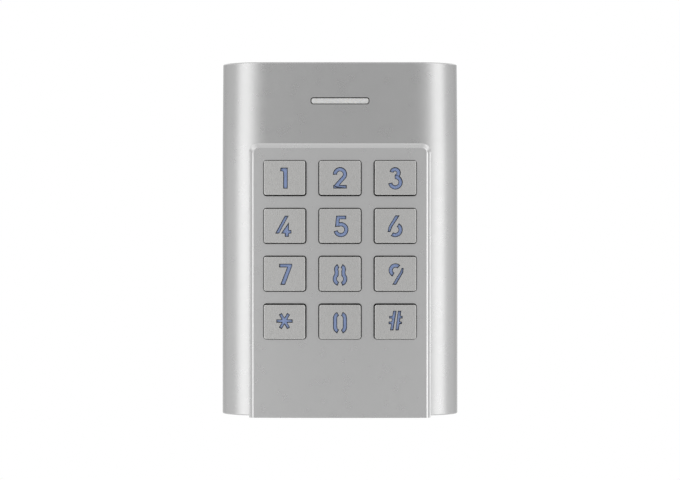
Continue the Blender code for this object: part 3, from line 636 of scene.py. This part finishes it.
# ---------------------------------------------------------------- the keypad panel
# The panel's rim, from its lip to its face: (in from the side, down from the top, out from the lip)
RIM_SECTION = [
    (0.0, 0.0, -0.08), (0.02, 0.02, -0.01), (0.07, 0.07, 0.03), (0.48, 0.38, 0.13), (0.53, 0.45, 0.17),
    (0.98, 1.30, 0.63), (1.03, 1.40, 0.68), (1.08, 1.47, 0.71), (1.50, 1.62, 0.82), (1.62, 1.70, 0.84),
]


def panel_outline(inset, drop):
    """The panel's outline, running on below its foot, where it is trimmed."""
    half, top = LIP_HALF_WIDTH - inset, LIP_TOP - drop
    corner = max(LIP_CORNER - inset, 0.6)
    below = PANEL_BOTTOM - 6
    return [
        (half, below),
        *arc(half - corner, top - corner, corner, 0, 90, 14),
        *arc(-half + corner, top - corner, corner, 90, 180, 14),
        (-half, below),
    ]


def trim_foot(bm):
    """Cuts the panel off at its foot and rounds the front edge there."""
    everything = [*bm.verts, *bm.edges, *bm.faces]
    foot = (0, 0, PANEL_BOTTOM * MM)
    down = (0, 0, -1)
    cutting = bmesh.ops.bisect_plane(bm, geom=everything, plane_co=foot, plane_no=down, clear_outer=True)
    rim = [item for item in cutting["geom_cut"] if isinstance(item, bmesh.types.BMEdge)]
    bmesh.ops.contextual_create(bm, geom=rim)

    def in_front(vertex):
        return vertex.co.z < (PANEL_BOTTOM + 0.01) * MM and -vertex.co.y > (PANEL_OUT - 0.01) * MM

    front = [edge for edge in bm.edges if all(in_front(vertex) for vertex in edge.verts)]
    bmesh.ops.bevel(bm, geom=front, offset=PANEL_FOOT_ROUNDING * MM, segments=3, profile=0.5, affect="EDGES")


def window_cutter():
    """A key's window, flared a little at the front so that the opening has a rounded edge."""
    levels = [
        (0.0, PANEL_BACK - 2), (0.0, PANEL_OUT - 0.14), (0.02, PANEL_OUT - 0.07),
        (0.07, PANEL_OUT - 0.02), (0.14, PANEL_OUT), (0.14, PANEL_OUT + 2),
    ]
    sections = []
    for flare, out in levels:
        grow = WINDOW_GAP + flare
        width, height = KEY_WIDTH + 2 * grow, KEY_HEIGHT + 2 * grow
        sections.append((around(0, 0, width, height, KEY_CORNER + grow, 6), out))
    return lofted(sections, "window")


def make_panel():
    """The raised panel: a shallow lip on the housing, a steep side and a sloped rim round the face."""
    sections = [(panel_outline(0.0, 0.0), PANEL_BACK)]
    sections += [(panel_outline(inset, drop), LIP_OUT + rise) for inset, drop, rise in RIM_SECTION]
    mesh = edit(lofted(sections, "panel"), trim_foot)
    window = window_cutter()
    windows = merged([moved(window, x=x, z=z) for x, z in map(key_centre, KEYS)])
    piece("panel_face", cut(mesh, windows), PANEL, ROOT, "keypad_panel")


# ---------------------------------------------------------------- keys
def key_centre(name):
    return middle_mm(f"key_cap_{name}")


def mirrored(path):
    return [(-x, z) for x, z in path]


def glyphs():
    """The cut-through sign of each key, as outlines in mm about its centre. Bridges hold the middles."""
    bold, star = 1.42, 1.15
    zero_half = [*arc(0, 1.2, 1.65, 112, 180, 10), *arc(0, -1.7, 1.65, 180, 248, 10)]
    eight_half = [*arc(-0.05, 1.5, 1.25, 112, 210, 12), *arc(0, -1.7, 1.75, 132, 252, 16)]
    return {
        "1": [[
            (-1.3, 3.4), (1.1, 3.4), (1.1, -3.65), (-0.45, -3.65),
            (-0.45, 1.95), (-0.8, 2.15), (-1.45, 2.15),
        ]],
        "2": [
            stroke([*arc(0, 1.2, 1.67, 187, -32, 28), (-1.6, -3.05)], bold),
            [(-2.28, -3.62), (2.28, -3.62), (2.28, -2.42), (-2.28, -2.42)],
        ],
        "3": [
            stroke(arc(-0.15, 1.65, 1.2, 172, -80, 26), bold),
            stroke(arc(-0.05, -1.48, 1.75, 98, -172, 30), bold),
        ],
        "4": [
            [(0.12, 3.4), (1.45, 3.4), (-1.8, -2.6), (-3.15, -2.6)],
            [
                (1.5, 1.3), (1.5, -1.4), (2.35, -1.4), (2.35, -2.6), (1.5, -2.6),
                (1.5, -3.7), (0.1, -3.7), (0.1, -2.6), (-1.2, -2.6),
            ],
        ],
        "5": [
            [(-1.3, 3.42), (2.1, 3.42), (2.1, 2.2), (-0.1, 2.2), (-0.2, 1.0), (-0.5, -0.2), (-1.7, -0.45)],
            stroke(arc(0.3, -1.28, 1.82, 128, -168, 30), bold),
        ],
        "6": [
            [(-0.1, 3.5), (1.45, 3.5), (-1.05, -0.3), (-1.75, -2.1), (-2.7, -2.1), (-2.35, -0.3)],
            stroke(arc(-0.1, -1.3, 1.8, 62, -128, 24), bold),
        ],
        "7": [[(-1.8, 3.4), (2.6, 3.4), (2.6, 2.6), (0.2, -3.7), (-1.45, -3.7), (0.85, 2.15), (-1.8, 2.15)]],
        "8": [stroke(eight_half, bold), stroke(mirrored(eight_half), bold)],
        "9": [
            stroke(arc(0.0, 1.2, 1.62, 45, 246, 24), bold),
            [(2.05, 2.0), (2.75, 2.0), (2.6, 0.5), (0.2, -3.65), (-1.15, -3.65), (1.6, 0.8)],
        ],
        "star": [
            stroke([(-2.75, 0.3), (2.75, 0.3)], star),
            stroke([(-1.4, -2.15), (1.4, 2.75)], star),
            stroke([(-1.4, 2.75), (1.4, -2.15)], star),
        ],
        "0": [stroke(zero_half, bold), stroke(mirrored(zero_half), bold)],
        "hash": [
            [(-0.8, 3.75), (0.35, 3.75), (-0.7, -2.85), (-1.85, -2.85)],
            [(0.8, 3.75), (1.95, 3.75), (1.1, -2.85), (-0.05, -2.85)],
            [(-2.15, 1.15), (-0.7, 1.15), (-0.7, 2.05), (-2.15, 2.05)],
            [(1.1, 1.15), (2.4, 1.15), (2.4, 2.05), (1.1, 2.05)],
            [(-2.35, -0.75), (-1.0, -0.75), (-1.0, 0.15), (-2.35, 0.15)],
            [(0.9, -0.75), (2.15, -0.75), (2.15, 0.15), (0.9, 0.15)],
        ],
    }


def round_rim(bm):
    """Rounds the front edges of a key cap."""
    edges = [edge for edge in bm.edges if all(-v.co.y > (KEY_OUT - 0.01) * MM for v in edge.verts)]
    bmesh.ops.bevel(bm, geom=edges, offset=KEY_RIM * MM, segments=4, profile=0.5, affect="EDGES")


def make_cap_blank():
    """A hollow cap with a rounded rim and the flange that keeps it in the panel."""
    body = face_plate([around(0, 0, KEY_WIDTH, KEY_HEIGHT, KEY_CORNER, 7)], KEY_BACK + 0.4, KEY_OUT)
    edit(body, round_rim)
    wide, high = KEY_WIDTH + 2 * KEY_FLANGE, KEY_HEIGHT + 2 * KEY_FLANGE
    flange = face_plate([around(0, 0, wide, high, KEY_CORNER, 5)], KEY_BACK, KEY_BACK + 1.0)
    width, height = KEY_WIDTH - 2 * KEY_WALL, KEY_HEIGHT - 2 * KEY_WALL
    hollow = face_plate([around(0, 0, width, height, 0.5, 4)], KEY_BACK - 2, KEY_OUT - KEY_FACE)
    return cut(join(body, flange), hollow)


def make_guide_blank():
    """The light guide's block and the stem that presses the dome."""
    width, height = KEY_WIDTH - 2 * KEY_WALL - 0.6, KEY_HEIGHT - 2 * KEY_WALL - 0.6
    stem_end = box_mm("key_light_guide_5")[4]
    block = face_plate([around(0, 0, width, height, 0.4, 4)], KEY_BACK - 0.3, KEY_OUT - KEY_FACE - 0.05)
    return join(block, face_plate([circle(0, 0, 2.5)], stem_end, KEY_BACK + 1))


def joined_sign(outlines, back, front):
    """A sign's outlines as one solid."""
    plates = [face_plate([outline], back, front) for outline in outlines]
    return join(plates[0], *plates[1:]) if len(plates) > 1 else plates[0]


def slope_pads(bm):
    """Raises the pads' middles. The sloped border this leaves lies in the shadow of the cut-out's wall."""
    tops = [face for face in bm.faces if face.normal.y < -0.9]
    width, drop = PAD_SLOPE_WIDTH * MM, PAD_SLOPE_DROP * MM
    bmesh.ops.inset_region(bm, faces=tops, thickness=width, depth=drop, use_even_offset=True)


def make_keys():
    blank, guide_blank, signs = make_cap_blank(), make_guide_blank(), glyphs()
    for name in KEYS:
        x, z = key_centre(name)
        body, cap_node, guide_node = f"key_{name}", f"key_cap_{name}", f"key_light_guide_{name}"
        cap = cut(blank.copy(), joined_sign(signs[name], KEY_OUT - 3, KEY_OUT + 1))
        piece(f"key_face_{name}", moved(cap, x=x, z=z), KEY_METAL, body, cap_node)
        pads = joined_sign(signs[name], KEY_OUT - KEY_FACE - 0.4, PAD_TOP - PAD_SLOPE_DROP)
        guide = join(guide_blank.copy(), edit(pads, slope_pads))
        piece(f"key_glow_{name}", moved(guide, x=x, z=z), BLUE, body, guide_node)


# ---------------------------------------------------------------- key mat
def make_key_mat():
    """The silicone sheet, and under each key a dome that gives way to the stem."""
    left, right, bottom, top, back, crown = box_mm("key_mat")
    edge = back + MAT_THICKNESS
    holes = [circle(*key_centre(name), DOME_HOLE_RADIUS) for name in KEYS]
    sheet = face_plate([rounded(left, right, bottom, top, 1.5), *holes], back, edge)
    piece("key_mat_sheet", sheet, SILICONE, ROOT, "key_mat")
    profile = [
        (0, crown), (2.5, crown), (2.72, crown - 0.08), (2.82, crown - 0.3), (3.2, crown - 1.2),
        (4.3, edge + 0.15), (4.6, edge - 0.1), (4.95, edge - 0.1), (4.95, back + 0.1), (3.8, back + 0.1),
        (2.4, crown - 2.1), (0, crown - 2.1),
    ]
    for name in KEYS:
        x, z = key_centre(name)
        mesh = facing_turned(profile, x, z, 40)
        dome = piece(f"key_dome_{name}", mesh, SILICONE, ROOT, "key_mat")
        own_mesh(dome)


# ---------------------------------------------------------------- lamp, screws and back
def make_lamp():
    """The frosted bar in its slot, with a flange behind the housing's wall."""
    back, front = box_mm("status_lamp_lens")[4], BODY_OUT - lean(LAMP_Z) - LAMP_GAP
    width, height = LAMP_WIDTH - 2 * LAMP_GAP, LAMP_HEIGHT - 2 * LAMP_GAP
    bar = face_plate([around(0, LAMP_Z, width, height, LAMP_CORNER - LAMP_GAP, 10)], back, front)
    flange = face_plate([around(0, LAMP_Z, 24.0, 5.4, 1.0)], 18.2, 19.4)
    piece("lamp_bar", softened(join(bar, flange), 0.12, 3), LAMP, ROOT, "status_lamp_lens")


def screw_profile(head_radius, head_height, shank_radius, shank_length, pitch=0.5):
    """A pan-head screw pointing up, with a threaded shank. (radius, height) from the tip down."""
    points = [(0, shank_length), (shank_radius * 0.55, shank_length)]
    turns = int((shank_length - 0.8) / pitch)
    for i in range(turns):
        top = shank_length - 0.5 - i * pitch
        points += [(shank_radius, top), (shank_radius - 0.18, top - pitch / 2)]
    points += [(shank_radius, shank_length - 0.5 - turns * pitch), (shank_radius, 0), (head_radius - 0.1, 0)]
    points += [(head_radius, -0.12), (head_radius, -head_height * 0.42)]
    for angle in map(math.radians, (20, 40, 60, 75, 90)):
        points.append((
            head_radius * (0.45 + 0.55 * math.cos(angle)), -head_height * (0.42 + 0.58 * math.sin(angle)),
        ))
    return points + [(0, -head_height)]


def make_rear_screws():
    """The four screws of the rear cover, with cross recesses."""
    head, height = 2.6, 1.5
    blank = facing_turned(screw_profile(head, height, 1.15, 9.0), 0, 0, 48)
    across = face_plate([around(0, 0, 3.1, 0.56, 0.1, 2)], -height - 1, -0.5)
    upright = face_plate([around(0, 0, 0.56, 3.1, 0.1, 2)], -height - 1, -0.52)
    blank = cut(blank, join(across, upright))
    for i in range(1, 5):
        node = f"cover_screw_{i}"
        x, z = middle_mm(node)
        mesh = moved(blank, x=x, out=box_mm(node)[4] + height, z=z)
        piece(f"cover_screw_fine_{i}", mesh, STEEL, ROOT, node)


def make_security_screw():
    """The hex socket screw in the underside, pointing up into the bracket's foot."""
    head_top, head_bottom, tip = -58.0, -59.15, -53.2
    profile = [(0, tip), (1.0, tip)]
    for i in range(9):
        profile += [(1.4, tip - 0.4 - 0.5 * i), (1.22, tip - 0.65 - 0.5 * i)]
    profile += [
        (1.4, head_top), (2.7, head_top), (2.8, head_top - 0.1), (2.8, head_bottom + 0.4),
        (2.72, head_bottom + 0.2), (2.5, head_bottom + 0.05), (2.3, head_bottom), (0, head_bottom),
    ]
    mesh = cut(turned(profile, 64), flat_plate([circle(0, 0, 1.15, 6)], -61, head_bottom + 0.8))
    piece("security_screw_fine", moved(mesh, out=SECURITY_OUT), STEEL, ROOT, "security_screw")


def make_rear_cover():
    """Eroded plastic cover with sunk fields, the cable's grommet and the light sensor's window."""
    left, right, bottom, top, back, front = box_mm("rear_cover")
    window_x, window_z = middle_mm("tamper_window")
    grommet_z = middle_mm("cable_grommet")[1]
    holes = [circle(*middle_mm(f"cover_screw_{i}"), 1.8) for i in range(1, 5)]
    holes += [circle(0, grommet_z, 6.4), circle(window_x, window_z, 2.9)]
    cover = face_plate([rounded(left, right, bottom, top, 1.6), *holes], back, front)
    sunk = [(-27, 27, -6, 44), (-27, -14, -40, -12), (17, 27, -40, -12)]
    fields = [face_plate([rounded(*sides, 1.5)], back - 1, back + 0.45) for sides in sunk]
    cover = softened(cut(cover, *fields), 0.14, 2)
    piece("rear_cover_fine", cover, BLACK, ROOT, "rear_cover")
    profile = [
        (4.0, 6.9), (4.15, 7.0), (7.45, 7.0), (7.6, 6.85), (7.6, 6.1), (6.1, 6.1), (6.1, 3.7), (7.8, 3.7),
        (8.0, 3.5), (8.0, 3.15), (7.75, 2.9), (4.3, 2.9), (4.05, 3.0), (3.95, 3.3), (3.95, 6.7),
    ]
    grommet = facing_turned(profile, 0, grommet_z, 64, True)
    piece("cable_grommet_fine", grommet, RUBBER, ROOT, "cable_grommet")
    profile = [(0, 5.8), (2.45, 5.8), (2.6, 5.65), (2.6, 4.2), (2.4, 4.0), (0, 4.0)]
    lens = facing_turned(profile, window_x, window_z, 48)
    piece("tamper_window_fine", lens, WINDOW, ROOT, "tamper_window")


def make_bracket():
    """Pressed steel wall plate with two raised tabs, a foot, slots and a cable window."""
    outline = rounded(-BRACKET_HALF_WIDTH, BRACKET_HALF_WIDTH, BRACKET_BOTTOM, BRACKET_TOP, 3.0, 8)
    window = rounded(-14, 14, -34, -8, 2.0)
    half_z, half_x = SLOT_SPACING_Z / 2, SLOT_SPACING_X / 2
    slots = [around(0, z, SLOT_LENGTH, SLOT_WIDTH, SLOT_CORNER, 10) for z in (-half_z, half_z)]
    slots += [around(x, SIDE_SLOT_Z, SLOT_WIDTH, SLOT_LENGTH, SLOT_CORNER, 10) for x in (-half_x, half_x)]
    plate = softened(face_plate([outline, window, *slots], 0, BRACKET_THICKNESS), 0.12, 2, 50)

    middle, raised, sheet = BRACKET_THICKNESS / 2, 2.55, BRACKET_THICKNESS - 0.02
    bend = [(middle, 50.0), (middle, 53.0), (0.95, 53.5), (2.35, 54.9), (raised, 55.4), (raised, TAB_TOP)]
    for side in (-1, 1):
        tab = side_plate(stroke(bend, sheet), side * TAB_X - TAB_WIDTH / 2, side * TAB_X + TAB_WIDTH / 2)
        plate = join(plate, softened(tab, 0.12, 2, 50))
    bend = [(middle, -48.0), *arc(1.85, -54.4, 1.1, 180, 270, 6), (FOOT_REACH, FOOT_Z)]
    foot = side_plate(stroke(bend, sheet), -FOOT_WIDTH / 2, FOOT_WIDTH / 2)
    plate = join(plate, softened(foot, 0.12, 2, 50))
    plate = cut(plate, flat_plate([circle(0, -SECURITY_OUT, 1.6)], -57, -54))
    piece("wall_bracket_fine", plate, ZINC, ROOT, "wall_bracket")


def finish_inner_pieces():
    """The CAD pieces that stay get their own materials."""
    finishes = {
        "circuit_board": BOARD, "antenna_coil": COPPER, "wire_header": NYLON, "rear_gasket": RUBBER,
        "microcontroller": CHIP, "lock_relay": CHIP, "buzzer": CHIP, "tamper_sensor": CHIP,
        "status_led_left": LED, "status_led_centre": LED, "status_led_right": LED,
    }
    for i in range(1, 5):
        finishes[f"panel_screw_{i}"] = finishes[f"board_screw_{i}"] = STEEL
    for node, finish in finishes.items():
        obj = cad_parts[node]
        for material_slot in obj.material_slots:
            material_slot.material = finish


# ---------------------------------------------------------------- studio
CAMERA_DISTANCE = 0.300
# the focal length and the frame's width are in one unit, the sensor's width in millimetres
FOCAL_LENGTH, FRAME_WIDTH, SENSOR_MM = 890, 680, 36.0


def make_camera():
    data = bpy.data.cameras.new("camera")
    data.sensor_width = SENSOR_MM
    data.lens = FOCAL_LENGTH / FRAME_WIDTH * SENSOR_MM
    data.clip_start = 0.01
    camera = bpy.data.objects.new("camera", data)
    camera.location = (0, -PANEL_OUT * MM - CAMERA_DISTANCE, 0)
    camera.rotation_euler = (math.radians(90), 0, 0)
    bpy.context.scene.collection.objects.link(camera)
    bpy.context.scene.camera = camera


def softbox(name, angle, radiance, distance=0.8, width=0.24, height=1.7):
    """A rectangular light that faces the object, this many degrees to the right of the camera."""
    data = bpy.data.lights.new(name, "AREA")
    data.shape = "RECTANGLE"
    data.size, data.size_y = width, height
    data.energy = radiance * math.pi * width * height
    light = bpy.data.objects.new(name, data)
    azimuth = math.radians(angle)
    direction = Vector((math.sin(azimuth), -math.cos(azimuth), 0.0))
    light.location = direction * distance
    light.rotation_euler = direction.to_track_quat("Z", "Y").to_euler()
    light.visible_camera = False
    bpy.context.scene.collection.objects.link(light)


def make_world():
    """White for the camera, grey in reflections: darker above level, brighter overhead and aside."""
    world = bpy.data.worlds.new("studio")
    bpy.context.scene.world = world
    world.use_nodes = True
    tree = world.node_tree
    tree.nodes.clear()

    def new(kind, **settings):
        node = tree.nodes.new(kind)
        for key, value in settings.items():
            setattr(node, key, value)
        return node

    def level_ramp(value, stops):
        ramp = new("ShaderNodeValToRGB")
        elements = ramp.color_ramp.elements
        while len(elements) < len(stops):
            elements.new(0.5)
        for element, (position, level) in zip(elements, stops):
            element.position = position
            element.color = (level, level, level, 1.0)
        tree.links.new(value, ramp.inputs["Fac"])
        return ramp.outputs["Color"]

    direction = new("ShaderNodeSeparateXYZ")
    tree.links.new(new("ShaderNodeTexCoord").outputs["Generated"], direction.inputs["Vector"])
    rise = new("ShaderNodeMapRange")
    rise.inputs["From Min"].default_value = -1.0
    tree.links.new(direction.outputs["Z"], rise.inputs["Value"])
    aside = new("ShaderNodeMath", operation="ABSOLUTE")
    tree.links.new(direction.outputs["X"], aside.inputs[0])
    by_height = level_ramp(
        rise.outputs["Result"],
        [(0.0, 1.0), (0.59, 1.0), (0.62, 0.81), (0.70, 0.81), (0.75, 1.6), (0.90, 1.6), (0.95, 1.3)],
    )
    by_side = level_ramp(aside.outputs["Value"], [(0.45, 1.0), (0.70, 1.44), (0.92, 1.46), (1.0, 1.2)])
    level = new("ShaderNodeMix", data_type="RGBA", blend_type="MULTIPLY")
    level.inputs[0].default_value = 1.0
    tree.links.new(by_height, level.inputs[6])
    tree.links.new(by_side, level.inputs[7])
    seen, reflected, path, mix, out = (
        new("ShaderNodeBackground"), new("ShaderNodeBackground"), new("ShaderNodeLightPath"),
        new("ShaderNodeMixShader"), new("ShaderNodeOutputWorld"),
    )
    seen.inputs["Color"].default_value = (1.0, 1.0, 1.0, 1.0)
    tree.links.new(level.outputs[2], reflected.inputs["Color"])
    tree.links.new(path.outputs["Is Camera Ray"], mix.inputs["Fac"])
    tree.links.new(reflected.outputs["Background"], mix.inputs[1])
    tree.links.new(seen.outputs["Background"], mix.inputs[2])
    tree.links.new(mix.outputs["Shader"], out.inputs["Surface"])


def make_floor():
    """A pale floor, far enough below to keep out of the front view."""
    mesh = flat_plate([circle(0, 0, 1000, 96)], -502, -500)
    floor = temporary(mesh, "floor")
    m = Nodes("pale_floor", 0.9, 0.0)
    m.colour(m.ramp(m.noise(3, 2), (0.93, 0.93, 0.93), (0.96, 0.96, 0.96)))
    m.bump(m.noise(60, 2), 0.1)
    mesh.materials.append(m.material)


make_camera()
make_world()
make_floor()
softbox("strip_left", -27.5, 2.30)
softbox("strip_right", 32, 2.25)
bpy.context.scene.view_settings.view_transform = "Standard"

make_housing()
make_panel()
make_keys()
make_key_mat()
make_lamp()
make_rear_screws()
make_security_screw()
make_rear_cover()
make_bracket()
finish_inner_pieces()
